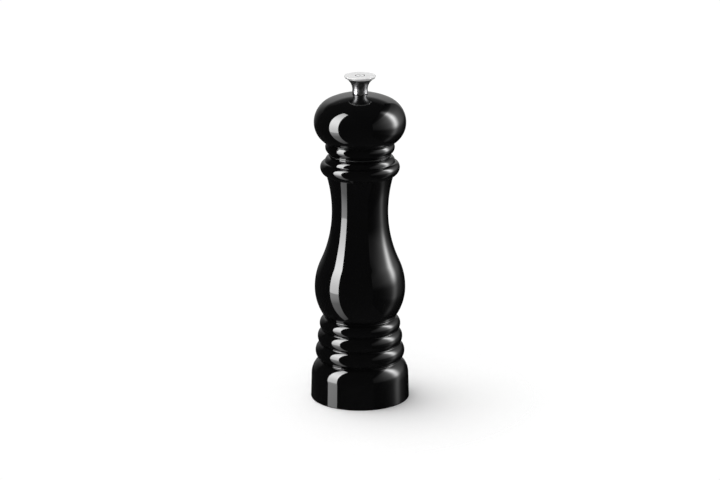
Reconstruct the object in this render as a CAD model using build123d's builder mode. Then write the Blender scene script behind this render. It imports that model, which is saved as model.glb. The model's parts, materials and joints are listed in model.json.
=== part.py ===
"""Pepper mill with a turned head, a thumb nut that sets the grind, and a ceramic grinder.

Millimetres, +Z up. The origin is the centre of the ring that the mill stands on.
Heights are measured from the table, radii from the spindle's centre line.
"""
import math
import os

from build123d import *

# --- Overall sizes ------------------------------------------------------------------------
body_height = 159.3          # table to the flat top of the body
base_radius = 31.34          # foot of the base
head_height = 38.83          # underside of the head to the top of its dome
dome_radius = 28.95          # widest part of the head
knob_height = 11.25          # seat of the thumb nut to its flat top

# --- Outline of the body ------------------------------------------------------------------
base_side_height = 15.34     # conical side of the base
base_draft = 0.43            # how much the side leans in over that height
base_round = 12.14           # rounded shoulder of the base
low_bead = (28.35, 30.65, 6.44)      # radius over the bead, its height, its round
middle_bead = (26.95, 40.11, 6.24)
high_bead = (25.67, 48.67, 5.05)
belly_radius = 28.74
belly_z = 72.8
belly_round_below = 32.5
waist_radius = 17.8
waist_z = 122.4
belly_share = 0.344          # share of the S curve that belongs to the belly
seam_radius = 19.5           # body and head where they meet
collar_neck_overhang = 1.53  # outline under the collar, beyond the seam
collar_overhang = 5.54
collar_drop = 7.93           # body top down to the middle of the collar
collar_round_below = 5.6
collar_round_above = 3.75
step_overhang = 2.57
step_drop = 4.34             # body top down to the middle of the small step
step_round = 3.99
groove_round = 0.45          # root of each groove
least_bend = 0.15            # how sharp a corner of the outline counts as a groove
least_opening = 0.1
foot_round = 0.6

# --- Inside of the body -------------------------------------------------------------------
skirt_wall = 3.55            # wall of the base at the table
ledge_z = 14.0               # face that the grinder is screwed to
bore_top_z = 84.0            # the bore narrows from here
cone_top_z = 110.0
waist_wall = 2.85            # wall of the body at its waist
liner_seat_drop = 18.3       # body top down to the seat of the liner's flange
mouth_wall = 2.1             # wall of the body at the seam

# --- Inner tube ---------------------------------------------------------------------------
liner_clearance = 0.25
liner_wall = 1.1
liner_flange_thickness = 1.5
mouth_clearance = 0.2

# --- Grinder housing and its ring ---------------------------------------------------------
housing_clearance = 0.2
flange_clearance = 0.3
flange_thickness = 3.5
stator_rise = 2.0            # recess for the retaining plate
housing_top_z = 36.0
stator_height = 16.0
stator_wall = 2.55           # behind the foot of the grinding bore
stator_clearance = 0.1
housing_wall = 3.2           # around the grinder ring
throat_lip = 1.8             # shoulder that the grinder ring stops against
plate_thickness = 1.5
plate_margin = 5.8           # plate beyond the grinder ring's seat
plate_gap = 0.2
base_cover_z = 5.0
base_cover_thickness = 2.0
base_cover_rim = 1.6
cover_hole_round = 0.8
base_cover_hole_margin = 2.55    # beyond the foot of the grinding bore

# --- Grinding cone ------------------------------------------------------------------------
rotor_height = 12.0
rotor_radius = 11.4
rotor_top_radius = 7.4
grind_gap = 0.55             # between the two cones at rest
throat_height = 8.0          # grinding length of the stator
funnel_wall = 2.2
rotor_teeth = 24
stator_teeth = 30
feed_teeth = 6
tooth_depth = 0.8
feed_depth = 2.3
tooth_slant = 14.0           # degrees
tooth_bite = 0.1             # groove's middle line outside the bore
tooth_run_out = 1.6          # groove beyond the grinding length
groove_lead_in = 1.5
fine_groove_share = 0.75     # share of the cone's height with fine grooves
feed_start_share = 0.4       # where the feed grooves start, as a share of the height
feed_lift_share = 0.75
feed_lean = 1.6              # feed grooves lean in and slant more than the fine ones
feed_slant = 2.2
hub_radius = 4.5
nut_across_flats = 5.5
nut_height = 2.4
rotor_washer_radius = 3.6
rotor_washer_thickness = 0.6

# --- Spindle ------------------------------------------------------------------------------
stud_radius = 1.5            # under the rotor
stud_length = 4.5
tang_side = 3.6              # square that drives the rotor
journal_radius = 2.6
bar_side = 5.0               # square that the head turns
bar_chamfer = 0.45
bar_start_gap = 3.0          # bridge hub to the square
bar_top_gap = 0.7            # square's end to the end of the head's tube
thread_radius = 2.45         # thread for the thumb nut
thread_height = 10.0
thread_gap = 2.15            # above the thread's end, inside the nut
thread_chamfer = 0.4
running_clearance = 0.25
drive_clearance = 0.2        # each side of a square

# --- Bridge over the grinder, spring and washers ------------------------------------------
bridge_thickness = 3.0
bridge_ring_width = 4.8
bridge_arm_width = 3.2
bridge_arms = 3
bridge_arm_angle = 60
bridge_hub_radius = 6.0
bridge_hub_below = 1.0
bridge_hub_above = 2.0
bush_wall = 1.15
washer_thickness = 0.6
spring_seat_radius = 6.2
thrust_washer_thickness = 1.0
spring_wire = 0.9
spring_radius = 4.6
spring_turns = 4.5
spring_clearance = 0.02      # wire to the washers at its ends

# --- Screws -------------------------------------------------------------------------------
screw_count = 3
screw_clearance = 0.05
bridge_screw_radius = 1.1
bridge_screw_head = 1.8
bridge_screw_head_height = 1.4
bridge_screw_length = 9.0
bridge_screw_inset = 2.6     # housing's outside in to the screw
plate_screw_radius = 0.9
plate_screw_head = 1.7
plate_screw_head_height = 1.2
plate_screw_length = 9.0
flange_screw_radius = 1.2
flange_screw_head = 2.4
flange_screw_head_height = 1.5
flange_screw_length = 10.5
flange_screw_gap = 1.09      # retaining plate to the screw's shank
drive_screw_radius = 1.1
drive_screw_head = 2.0
drive_screw_head_height = 1.3
drive_screw_length = 5.0
slot_width = 0.5
slot_depth = 0.5
slot_share = 1.1             # length of the cross slot against the head's radius
screw_round_share = 0.3      # rounded rim against the head's height
plate_screw_angle = 30
flange_screw_angle = 60
drive_screw_angle = 30
pilot_extra = 0.2            # pilot hole beyond the screw's end

# --- Head ---------------------------------------------------------------------------------
seam_gap = 0.6               # thickness of the glide ring's flange in the seam
head_ring_overhang = 2.36
head_ring_rise = 4.34        # underside of the head to the middle of its ring
head_ring_round = 4.24
dome_rise = 20.2             # underside of the head to its widest part
dome_round_below = 14.79
dome_round_above = 15.75
head_wall = 2.6
head_seat_wall = 2.6         # wall of the head at the seam
core_clearance = 0.05
core_rise = 8.0              # part of the core inside the head
glide_wall = 1.1
spigot_depth = 13.9          # part of the core inside the body
core_wall = 1.8
web_thickness = 2.5
web_rise = 4.3               # end of the spigot up to the web
hub_tube_radius = 5.0
hub_tube_clearance = 0.65
hub_tube_gap = 0.35          # tube's end to the top of the dome's inside
rib_thickness = 1.6
rib_count = 6
rib_root = 0.5               # rib sunk into the wall
drive_plate_radius = 13.2
drive_plate_thickness = 1.5
drive_screw_circle = 9.6
glide_sleeve_length = 7.0
glide_clearance = 0.15       # each side of the sleeve
glide_flange_inset = 0.3

# --- Thumb nut ----------------------------------------------------------------------------
knob_seat_radius = 4.95
knob_waist_radius = 4.8
knob_waist_rise = 2.3
knob_flare_radius = 9.6
knob_rim_radius = 9.92
knob_rim_lip = 0.35
knob_rim_height = 1.9
knob_edge_round = 0.35
insert_radius = 3.7
insert_height = 8.6
thread_clearance = 0.15
knob_washer_radius = 4.3
knob_washer_sunk = 0.9
knob_washer_clearance = 0.1
stem_hole_clearance = 0.45
mark_radius = 1.9
mark_width = 0.5
mark_depth = 0.2

# --- Places worked out from the sizes above -----------------------------------------------
collar_neck_radius = seam_radius + collar_neck_overhang
collar_radius = seam_radius + collar_overhang
step_radius = seam_radius + step_overhang
head_ring_radius = seam_radius + head_ring_overhang
bore_foot_radius = rotor_radius + grind_gap
stator_radius = bore_foot_radius + stator_wall
stator_seat_radius = stator_radius + stator_clearance
housing_radius = stator_seat_radius + housing_wall
shell_bore_radius = housing_radius + housing_clearance
throat_radius = stator_seat_radius - throat_lip
funnel_radius = stator_radius - funnel_wall
liner_bore_radius = waist_radius - waist_wall
mouth_radius = seam_radius - mouth_wall
head_bore_radius = seam_radius - head_seat_wall
spigot_radius = mouth_radius - glide_wall - 2 * glide_clearance
skirt_radius = base_radius - skirt_wall
flange_bottom_z = ledge_z - flange_thickness
flange_radius = skirt_radius - flange_clearance
stator_z = flange_bottom_z + stator_rise
rotor_z = stator_z
plate_z = stator_z - plate_thickness
plate_radius = stator_seat_radius + plate_margin
flange_screw_circle = plate_radius + flange_screw_gap + flange_screw_radius
rotor_top_z = rotor_z + rotor_height
stator_top_z = stator_z + stator_height
bridge_z = housing_top_z
bridge_top_z = bridge_z + bridge_thickness
bridge_hub_z = bridge_z - bridge_hub_below
bridge_hub_top_z = bridge_top_z + bridge_hub_above
bar_z = bridge_hub_top_z + bar_start_gap
spring_top_z = bridge_hub_z - washer_thickness
spring_z = rotor_top_z + thrust_washer_thickness
liner_seat_z = body_height - liner_seat_drop
liner_radius = liner_bore_radius - liner_clearance
head_z = body_height + seam_gap
dome_z = head_z + dome_rise
pole_z = head_z + head_height
spigot_end_z = head_z - spigot_depth
web_z = spigot_end_z + web_rise
knob_washer_z = pole_z - knob_washer_sunk
knob_z = pole_z
knob_top_z = knob_z + knob_height
hub_tube_top_z = pole_z - head_wall - hub_tube_gap
bar_top_z = hub_tube_top_z - bar_top_gap
stem_hole_radius = thread_radius + stem_hole_clearance
cone_slope = (rotor_radius - rotor_top_radius) / rotor_height

os.makedirs("parts", exist_ok=True)


def save(piece, name):
    """Label a finished piece and write it to its own file."""
    piece.part.label = name
    export_step(piece.part, f"parts/{name}.step")


def ring(low_z, high_z, inner, outer):
    """Make a plain ring between two heights."""
    with BuildPart() as made:
        with BuildSketch(Plane.XY.offset(low_z)):
            Circle(outer)
            Circle(inner, mode=Mode.SUBTRACT)
        extrude(amount=high_z - low_z)
    return made


def groove_corners(outline):
    """Corners of an outline where two rounds meet in a groove, away from the centre line."""
    found = ShapeList()
    for corner in outline.vertices():
        place = Vector(corner)
        sides = []
        for edge in outline.edges():
            if (edge.position_at(0) - place).length < 1e-4:
                sides.append(edge.tangent_at(0))
            if (edge.position_at(1) - place).length < 1e-4:
                sides.append(edge.tangent_at(1) * -1)
        if len(sides) == 2 and corner.X > 1:
            opening = sides[0] + sides[1]
            if opening.length > least_bend and opening.X > least_opening:
                found.append(corner)
    return found


# --- Body shell ---------------------------------------------------------------------------
belly_sum = belly_radius - waist_radius
curve_sum = (belly_sum**2 + (waist_z - belly_z) ** 2) / (2 * belly_sum)
belly_round_above = belly_share * curve_sum
turn_x = belly_radius - belly_share * belly_sum
turn_z = belly_z + belly_share * (waist_z - belly_z)
collar_z = body_height - collar_drop
step_z = body_height - step_drop
neck_z = collar_z - collar_round_below
neck_rise = neck_z - waist_z
neck_flare = collar_neck_radius - waist_radius
neck_round = (neck_rise**2 + neck_flare**2) / (2 * neck_flare)

with BuildPart() as body_shell:
    with BuildSketch(Plane.XZ) as body_outline:
        shoulder_radius = base_radius - base_draft
        with BuildLine():
            Polyline((0, 0), (base_radius, 0), (shoulder_radius, base_side_height))
            shoulder = RadiusArc(
                (shoulder_radius, base_side_height),
                (shoulder_radius - base_round, base_side_height + base_round),
                -base_round,
            )
            Polyline(shoulder @ 1, (0, base_side_height + base_round), (0, 0))
        make_face()
        for bead_radius, bead_z, bead_round in (low_bead, middle_bead, high_bead):
            with Locations((bead_radius - bead_round, bead_z)):
                Circle(bead_round)
        with BuildLine():
            belly_foot_x = belly_radius - belly_round_below + math.sqrt(
                belly_round_below**2 - (belly_z - high_bead[1]) ** 2
            )
            Polyline((0, base_side_height), (belly_foot_x, base_side_height), (belly_foot_x, high_bead[1]))
            RadiusArc((belly_foot_x, high_bead[1]), (belly_radius, belly_z), -belly_round_below)
            RadiusArc((belly_radius, belly_z), (turn_x, turn_z), -belly_round_above)
            RadiusArc((turn_x, turn_z), (waist_radius, waist_z), curve_sum - belly_round_above)
            RadiusArc((waist_radius, waist_z), (collar_neck_radius, neck_z), neck_round)
            Polyline(
                (collar_neck_radius, neck_z),
                (collar_neck_radius, collar_z),
                (0, collar_z),
                (0, base_side_height),
            )
        make_face()
        with BuildLine():
            low_x = collar_radius - collar_round_below
            high_x = collar_radius - collar_round_above
            RadiusArc((low_x, neck_z), (collar_radius, collar_z), -collar_round_below)
            RadiusArc((collar_radius, collar_z), (high_x, collar_z + collar_round_above), -collar_round_above)
            Polyline(
                (high_x, collar_z + collar_round_above),
                (0, collar_z + collar_round_above),
                (0, neck_z),
                (low_x, neck_z),
            )
        make_face()
        with Locations((step_radius - step_round, step_z)):
            Circle(step_round)
        with Locations((0, body_height)):
            Rectangle(seam_radius, body_height - collar_z, align=(Align.MIN, Align.MAX))
        fillet(groove_corners(body_outline.sketch), groove_round)
        foot = body_outline.vertices().group_by(Axis.Y)[0].sort_by(Axis.X)[-1]
        fillet(foot, foot_round)
    revolve(axis=Axis.Z)
    with BuildSketch(Plane.XZ):
        with BuildLine():
            Polyline(
                (0, 0),
                (skirt_radius, 0),
                (skirt_radius, ledge_z),
                (shell_bore_radius, ledge_z),
                (shell_bore_radius, bore_top_z),
                (liner_bore_radius, cone_top_z),
                (liner_bore_radius, liner_seat_z),
                (mouth_radius, liner_seat_z),
                (mouth_radius, body_height),
                (0, body_height),
                close=True,
            )
        make_face()
    revolve(axis=Axis.Z, mode=Mode.SUBTRACT)
    with PolarLocations(flange_screw_circle, screw_count, start_angle=flange_screw_angle):
        with Locations((0, 0, ledge_z)):
            Cylinder(
                flange_screw_radius + screw_clearance,
                flange_bottom_z + flange_screw_length + 1 - ledge_z,
                align=(Align.CENTER, Align.CENTER, Align.MIN),
                mode=Mode.SUBTRACT,
            )
save(body_shell, "body_shell")

# --- Inner tube that holds the peppercorns ------------------------------------------------
with BuildPart() as chamber_liner:
    with BuildSketch(Plane.XY.offset(bridge_top_z)):
        Circle(liner_radius)
    extrude(amount=liner_seat_z - bridge_top_z)
    with BuildSketch(Plane.XY.offset(liner_seat_z)):
        Circle(mouth_radius - mouth_clearance)
    extrude(amount=liner_flange_thickness)
    with BuildSketch(Plane.XY.offset(bridge_top_z)):
        Circle(liner_radius - liner_wall)
    extrude(amount=body_height, mode=Mode.SUBTRACT)
save(chamber_liner, "chamber_liner")

# --- Grinder housing ----------------------------------------------------------------------
bridge_screw_circle = housing_radius - bridge_screw_inset
plate_screw_circle = (stator_seat_radius + housing_radius) / 2

with BuildPart() as grinder_housing:
    with BuildSketch(Plane.XZ):
        with BuildLine():
            Polyline(
                (throat_radius, housing_top_z),
                (housing_radius, housing_top_z),
                (housing_radius, ledge_z),
                (flange_radius, ledge_z),
                (flange_radius, flange_bottom_z),
                (plate_radius + plate_gap, flange_bottom_z),
                (plate_radius + plate_gap, stator_z),
                (stator_seat_radius, stator_z),
                (stator_seat_radius, stator_top_z),
                (throat_radius, stator_top_z),
                close=True,
            )
        make_face()
    revolve(axis=Axis.Z)
    with PolarLocations(bridge_screw_circle, screw_count):
        with Locations((0, 0, housing_top_z)):
            Cylinder(
                bridge_screw_radius + screw_clearance,
                bridge_screw_length,
                align=(Align.CENTER, Align.CENTER, Align.MAX),
                mode=Mode.SUBTRACT,
            )
    with PolarLocations(plate_screw_circle, screw_count, start_angle=plate_screw_angle):
        with Locations((0, 0, stator_z)):
            Cylinder(
                plate_screw_radius + screw_clearance,
                plate_screw_length,
                align=(Align.CENTER, Align.CENTER, Align.MIN),
                mode=Mode.SUBTRACT,
            )
    with PolarLocations(flange_screw_circle, screw_count, start_angle=flange_screw_angle):
        with Locations((0, 0, flange_bottom_z)):
            Cylinder(
                flange_screw_radius + screw_clearance,
                flange_thickness,
                align=(Align.CENTER, Align.CENTER, Align.MIN),
                mode=Mode.SUBTRACT,
            )
save(grinder_housing, "grinder_housing")

# --- Grinder ring with teeth inside -------------------------------------------------------
slant = math.radians(tooth_slant)
cone_angle = math.atan(cone_slope)
along_cone = Vector(
    -math.sin(cone_angle) * math.cos(slant),
    math.sin(slant),
    math.cos(cone_angle) * math.cos(slant),
)
bore_throat_radius = bore_foot_radius - cone_slope * throat_height

with BuildPart() as stator_groove:
    with BuildSketch(Plane((bore_foot_radius + tooth_bite, 0, stator_z), x_dir=(0, 1, 0), z_dir=along_cone)):
        RegularPolygon(tooth_depth, 4)
    extrude(amount=throat_height + tooth_run_out)
    extrude(stator_groove.faces().sort_by(Axis.Z)[0], amount=groove_lead_in)

with BuildPart() as stator:
    with BuildSketch(Plane.XZ):
        with BuildLine():
            Polyline(
                (bore_foot_radius, stator_z),
                (stator_radius, stator_z),
                (stator_radius, stator_top_z),
                (funnel_radius, stator_top_z),
                (bore_throat_radius, stator_z + throat_height),
                close=True,
            )
        make_face()
    revolve(axis=Axis.Z)
    with PolarLocations(0, stator_teeth):
        add(stator_groove.part, mode=Mode.SUBTRACT)
save(stator, "stator")

# --- Plate that holds the grinder ring ----------------------------------------------------
with BuildPart() as retaining_plate:
    with BuildSketch(Plane.XY.offset(plate_z)):
        Circle(plate_radius)
        Circle(bore_foot_radius + tooth_depth + plate_gap, mode=Mode.SUBTRACT)
        with PolarLocations(plate_screw_circle, screw_count, start_angle=plate_screw_angle):
            Circle(plate_screw_radius + screw_clearance, mode=Mode.SUBTRACT)
    extrude(amount=plate_thickness)
save(retaining_plate, "retaining_plate")

# --- Cover in the base --------------------------------------------------------------------
with BuildPart() as base_cover:
    with BuildSketch(Plane.XY.offset(base_cover_z)):
        Circle(flange_radius)
        Circle(bore_foot_radius + base_cover_hole_margin, mode=Mode.SUBTRACT)
    extrude(amount=base_cover_thickness)
    with BuildSketch(Plane.XY.offset(base_cover_z + base_cover_thickness)):
        Circle(flange_radius)
        Circle(flange_radius - base_cover_rim, mode=Mode.SUBTRACT)
    extrude(amount=flange_bottom_z - base_cover_z - base_cover_thickness)
    with PolarLocations(flange_screw_circle, screw_count, start_angle=flange_screw_angle):
        with Locations((0, 0, flange_bottom_z)):
            Cylinder(
                flange_screw_head + flange_clearance,
                flange_screw_head_height + flange_clearance,
                align=(Align.CENTER, Align.CENTER, Align.MAX),
                mode=Mode.SUBTRACT,
            )
    fillet(base_cover.edges().group_by(Axis.Z)[0].sort_by(SortBy.RADIUS)[0], cover_hole_round)
save(base_cover, "base_cover")

# --- Bridge that guides the spindle over the grinder --------------------------------------
bush_radius = journal_radius + running_clearance + bush_wall
bridge_ring_inner = housing_radius - bridge_ring_width

with BuildPart() as spindle_bridge:
    with BuildSketch(Plane.XY.offset(bridge_z)):
        Circle(housing_radius)
        Circle(bridge_ring_inner, mode=Mode.SUBTRACT)
        with PolarLocations(0, bridge_arms, start_angle=bridge_arm_angle):
            Rectangle(bridge_ring_inner + 1, bridge_arm_width, align=(Align.MIN, Align.CENTER))
    extrude(amount=bridge_thickness)
    with BuildSketch(Plane.XY.offset(bridge_hub_z)):
        Circle(bridge_hub_radius)
    extrude(amount=bridge_hub_top_z - bridge_hub_z)
    with BuildSketch(Plane.XY.offset(bridge_hub_z)):
        Circle(bush_radius)
    extrude(amount=bridge_hub_top_z - bridge_hub_z, mode=Mode.SUBTRACT)
    with PolarLocations(bridge_screw_circle, screw_count):
        with Locations((0, 0, bridge_top_z)):
            Cylinder(
                bridge_screw_head + screw_clearance,
                bridge_screw_head_height,
                align=(Align.CENTER, Align.CENTER, Align.MAX),
                mode=Mode.SUBTRACT,
            )
        with Locations((0, 0, bridge_z)):
            Cylinder(
                bridge_screw_radius + screw_clearance,
                bridge_thickness,
                align=(Align.CENTER, Align.CENTER, Align.MIN),
                mode=Mode.SUBTRACT,
            )
save(spindle_bridge, "spindle_bridge")

bridge_bush = ring(bridge_hub_z, bridge_hub_top_z, journal_radius + running_clearance, bush_radius)
save(bridge_bush, "bridge_bush")

# --- Spring and its washers ---------------------------------------------------------------
washer_bore = journal_radius + running_clearance
spring_washer = ring(spring_top_z, bridge_hub_z, washer_bore, spring_seat_radius)
save(spring_washer, "spring_washer")

thrust_washer = ring(rotor_top_z, spring_z, washer_bore, spring_seat_radius)
save(thrust_washer, "thrust_washer")

spring_rise = spring_top_z - spring_z - spring_wire
with BuildPart() as spring:
    with BuildLine():
        coil = Helix(
            pitch=spring_rise / spring_turns,
            height=spring_rise,
            radius=spring_radius,
            center=(0, 0, spring_z + spring_wire / 2),
        )
    with BuildSketch(Plane(coil @ 0, z_dir=coil % 0)):
        Circle(spring_wire / 2 - spring_clearance)
    sweep(is_frenet=True)
save(spring, "spring")

# --- Grinding cone ------------------------------------------------------------------------
with BuildPart() as fine_groove:
    with BuildSketch(Plane((rotor_radius, 0, rotor_z), x_dir=(0, 1, 0), z_dir=along_cone)):
        RegularPolygon(tooth_depth, 4)
    extrude(amount=rotor_height * fine_groove_share)
    extrude(fine_groove.faces().sort_by(Axis.Z)[0], amount=groove_lead_in)

with BuildPart() as feed_groove:
    feed_z = rotor_z + rotor_height * feed_start_share
    feed_radius = rotor_radius - cone_slope * rotor_height * feed_start_share
    steeper = Vector(along_cone.X * feed_lean, along_cone.Y * feed_slant, along_cone.Z)
    feed_place = (feed_radius + feed_depth * feed_lift_share, 0, feed_z)
    with BuildSketch(Plane(feed_place, x_dir=(0, 1, 0), z_dir=steeper)):
        RegularPolygon(feed_depth, 4)
    extrude(amount=rotor_height)

with BuildPart() as rotor:
    with BuildSketch(Plane.XZ):
        with BuildLine():
            Polyline(
                (hub_radius, rotor_z),
                (rotor_radius, rotor_z),
                (rotor_top_radius, rotor_top_z),
                (hub_radius, rotor_top_z),
                close=True,
            )
        make_face()
    revolve(axis=Axis.Z)
    with PolarLocations(0, rotor_teeth):
        add(fine_groove.part, mode=Mode.SUBTRACT)
    with PolarLocations(0, feed_teeth):
        add(feed_groove.part, mode=Mode.SUBTRACT)
save(rotor, "rotor")

with BuildPart() as rotor_hub:
    with BuildSketch(Plane.XY.offset(rotor_z)):
        Circle(hub_radius - screw_clearance)
        Rectangle(tang_side + screw_clearance * 2, tang_side + screw_clearance * 2, mode=Mode.SUBTRACT)
    extrude(amount=rotor_height)
save(rotor_hub, "rotor_hub")

rotor_washer = ring(
    rotor_z - rotor_washer_thickness,
    rotor_z,
    stud_radius + screw_clearance,
    rotor_washer_radius,
)
save(rotor_washer, "rotor_washer")

nut_top_z = rotor_z - rotor_washer_thickness
with BuildPart() as rotor_nut:
    with BuildSketch(Plane.XY.offset(nut_top_z)):
        RegularPolygon(nut_across_flats / 2, 6, major_radius=False)
        Circle(stud_radius + screw_clearance, mode=Mode.SUBTRACT)
    extrude(amount=-nut_height)
save(rotor_nut, "rotor_nut")

# --- Spindle ------------------------------------------------------------------------------
with BuildPart() as spindle:
    with BuildSketch(Plane.XY.offset(rotor_z - stud_length)):
        Circle(stud_radius)
    extrude(amount=stud_length)
    with BuildSketch(Plane.XY.offset(rotor_z)):
        Rectangle(tang_side, tang_side)
    extrude(amount=rotor_height)
    with BuildSketch(Plane.XY.offset(rotor_top_z)):
        Circle(journal_radius)
    extrude(amount=bar_z - rotor_top_z)
    with BuildSketch(Plane.XY.offset(bar_z)) as bar_section:
        Rectangle(bar_side, bar_side)
        chamfer(bar_section.vertices(), bar_chamfer)
    extrude(amount=bar_top_z - bar_z)
    with BuildSketch(Plane.XY.offset(bar_top_z)):
        Circle(thread_radius)
    extrude(amount=pole_z + thread_height - bar_top_z - thread_gap)
    chamfer(spindle.faces().sort_by(Axis.Z)[-1].edges(), thread_chamfer)
save(spindle, "spindle")

# --- Glide ring between body and head -----------------------------------------------------
with BuildPart() as head_glide_ring:
    sleeve_outer = mouth_radius - glide_clearance
    with BuildSketch(Plane.XY.offset(body_height - glide_sleeve_length)):
        Circle(sleeve_outer)
    extrude(amount=glide_sleeve_length)
    with BuildSketch(Plane.XY.offset(body_height)):
        Circle(seam_radius - glide_flange_inset)
    extrude(amount=seam_gap)
    with BuildSketch(Plane.XY.offset(body_height - glide_sleeve_length)):
        Circle(spigot_radius + glide_clearance)
    extrude(amount=glide_sleeve_length + seam_gap, mode=Mode.SUBTRACT)
save(head_glide_ring, "head_glide_ring")

# --- Head shell ---------------------------------------------------------------------------
ring_z = head_z + head_ring_rise


def dome_outline(inset):
    """Draw the dome's half outline, moved inwards by a wall."""
    side_x = dome_radius - dome_round_above
    top_rise = head_height - dome_rise
    crown = (side_x**2 + top_rise**2 - dome_round_above**2) / (2 * (top_rise - dome_round_above))
    crown_z = pole_z - crown
    reach = math.hypot(side_x, dome_z - crown_z)
    share = (crown - inset) / reach
    join = (side_x * share, crown_z + (dome_z - crown_z) * share)
    low_x = dome_radius - dome_round_below
    low_z = dome_z - dome_round_below + inset
    with BuildSketch() as outline:
        with BuildLine():
            RadiusArc((low_x, low_z), (dome_radius - inset, dome_z), -(dome_round_below - inset))
            RadiusArc((dome_radius - inset, dome_z), join, -(dome_round_above - inset))
            RadiusArc(join, (0, pole_z - inset), -(crown - inset))
            Polyline((0, pole_z - inset), (0, low_z), (low_x, low_z))
        make_face()
    return outline.sketch


with BuildPart() as head_shell:
    with BuildSketch(Plane.XZ) as head_outline:
        add(dome_outline(0))
        with Locations((head_ring_radius - head_ring_round, ring_z)):
            Circle(head_ring_round)
        with Locations((0, head_z)):
            Rectangle(seam_radius, head_ring_rise, align=(Align.MIN, Align.MIN))
            Rectangle(head_bore_radius, dome_rise, align=(Align.MIN, Align.MIN))
        fillet(groove_corners(head_outline.sketch), groove_round)
    revolve(axis=Axis.Z)
    with BuildSketch(Plane.XZ):
        add(dome_outline(head_wall))
        with Locations((0, head_z)):
            Rectangle(head_bore_radius, dome_rise, align=(Align.MIN, Align.MIN))
    revolve(axis=Axis.Z, mode=Mode.SUBTRACT)
    with Locations((0, 0, pole_z)):
        Cylinder(
            knob_washer_radius + knob_washer_clearance,
            knob_washer_sunk,
            align=(Align.CENTER, Align.CENTER, Align.MAX),
            mode=Mode.SUBTRACT,
        )
        Cylinder(
            stem_hole_radius,
            head_wall * 2,
            align=(Align.CENTER, Align.CENTER, Align.MAX),
            mode=Mode.SUBTRACT,
        )
save(head_shell, "head_shell")

# --- Inner part of the head ---------------------------------------------------------------
hub_bore_radius = (bar_side / 2 - bar_chamfer / 2) * math.sqrt(2) + hub_tube_clearance
spigot_inner = spigot_radius - core_wall

with BuildPart() as head_core:
    with BuildSketch(Plane.XY.offset(spigot_end_z)):
        Circle(spigot_radius)
    extrude(amount=spigot_depth)
    with BuildSketch(Plane.XY.offset(head_z)):
        Circle(head_bore_radius - core_clearance)
    extrude(amount=core_rise)
    with BuildSketch(Plane.XY.offset(spigot_end_z)):
        Circle(spigot_inner)
    extrude(amount=web_rise, mode=Mode.SUBTRACT)
    with BuildSketch(Plane.XY.offset(web_z + web_thickness)):
        Circle(spigot_inner)
    extrude(amount=head_z + core_rise - web_z - web_thickness, mode=Mode.SUBTRACT)
    with BuildSketch(Plane.XY.offset(web_z + web_thickness)):
        with PolarLocations(0, rib_count):
            Rectangle(spigot_inner + rib_root, rib_thickness, align=(Align.MIN, Align.CENTER))
    extrude(amount=head_z + core_rise - web_z - web_thickness)
    with BuildSketch(Plane.XY.offset(web_z)):
        Circle(hub_tube_radius)
    extrude(amount=hub_tube_top_z - web_z)
    with BuildSketch(Plane.XY.offset(web_z)):
        Circle(hub_bore_radius)
    extrude(amount=hub_tube_top_z - web_z, mode=Mode.SUBTRACT)
    with PolarLocations(drive_screw_circle, screw_count, start_angle=drive_screw_angle):
        with Locations((0, 0, web_z)):
            Cylinder(
                drive_screw_radius + screw_clearance,
                drive_screw_length - drive_plate_thickness + pilot_extra,
                align=(Align.CENTER, Align.CENTER, Align.MIN),
                mode=Mode.SUBTRACT,
            )
save(head_core, "head_core")

# --- Plate that turns the spindle ---------------------------------------------------------
drive_hole = bar_side + 2 * drive_clearance
with BuildPart() as drive_plate:
    with BuildSketch(Plane.XY.offset(web_z - drive_plate_thickness)):
        Circle(drive_plate_radius)
        Rectangle(drive_hole, drive_hole, mode=Mode.SUBTRACT)
        with PolarLocations(drive_screw_circle, screw_count, start_angle=drive_screw_angle):
            Circle(drive_screw_radius + screw_clearance, mode=Mode.SUBTRACT)
    extrude(amount=drive_plate_thickness)
save(drive_plate, "drive_plate")

# --- Thumb nut ----------------------------------------------------------------------------
rim_z = knob_top_z - knob_rim_height
flare_rise = rim_z - knob_z - knob_waist_rise
flare_reach = knob_flare_radius - knob_waist_radius
flare_round = (flare_rise**2 + flare_reach**2) / (2 * flare_reach)

with BuildPart() as knob:
    with BuildSketch(Plane.XZ) as knob_outline:
        with BuildLine():
            Line((knob_seat_radius, knob_z), (knob_waist_radius, knob_z + knob_waist_rise))
            RadiusArc(
                (knob_waist_radius, knob_z + knob_waist_rise),
                (knob_flare_radius, rim_z),
                flare_round,
            )
            Polyline(
                (knob_flare_radius, rim_z),
                (knob_rim_radius, rim_z + knob_rim_lip),
                (knob_rim_radius, knob_top_z),
                (0, knob_top_z),
                (0, knob_z),
                (knob_seat_radius, knob_z),
            )
        make_face()
        fillet(knob_outline.vertices().group_by(Axis.Y)[-1].sort_by(Axis.X)[-1], knob_edge_round)
    revolve(axis=Axis.Z)
    with BuildSketch(Plane.XY.offset(knob_z)):
        Circle(insert_radius)
    extrude(amount=insert_height, mode=Mode.SUBTRACT)
    with BuildSketch(Plane.XY.offset(knob_top_z)):
        Circle(mark_radius)
        Circle(mark_radius - mark_width, mode=Mode.SUBTRACT)
    extrude(amount=-mark_depth, mode=Mode.SUBTRACT)
save(knob, "knob")

knob_insert = ring(
    knob_z,
    knob_z + insert_height,
    thread_radius + thread_clearance,
    insert_radius - screw_clearance,
)
save(knob_insert, "knob_insert")

knob_washer = ring(
    knob_washer_z,
    knob_z,
    stem_hole_radius - thread_clearance,
    knob_washer_radius,
)
save(knob_washer, "knob_washer")


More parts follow.
